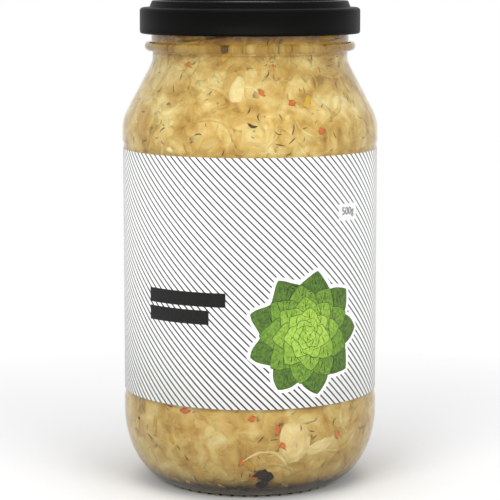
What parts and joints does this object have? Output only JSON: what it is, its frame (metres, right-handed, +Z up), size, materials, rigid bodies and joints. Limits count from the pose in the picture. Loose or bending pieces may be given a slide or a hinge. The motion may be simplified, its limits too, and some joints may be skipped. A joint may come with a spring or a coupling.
{
  "type": "sauerkraut jar",
  "caption": "Round glass food jar with a tapered shoulder, black twist-off metal lid, wrap-round printed label and a filling of shredded sauerkraut.",
  "frame": {"origin": "centre of the ring that the jar stands on", "axes": "+Z up along the jar's axis; the label's printed face looks along -Y"},
  "size_m": [0.0772, 0.0772, 0.1464],
  "materials": {
    "glass": "gloss",
    "lid_lacquer": "satin",
    "label_paper": "matte",
    "sauerkraut": "satin"
  },
  "bodies": {
    "root": {"glass_jar": "glass", "lid": "lid_lacquer", "label": "label_paper", "sauerkraut": "sauerkraut"}
  },
  "joints": []
}
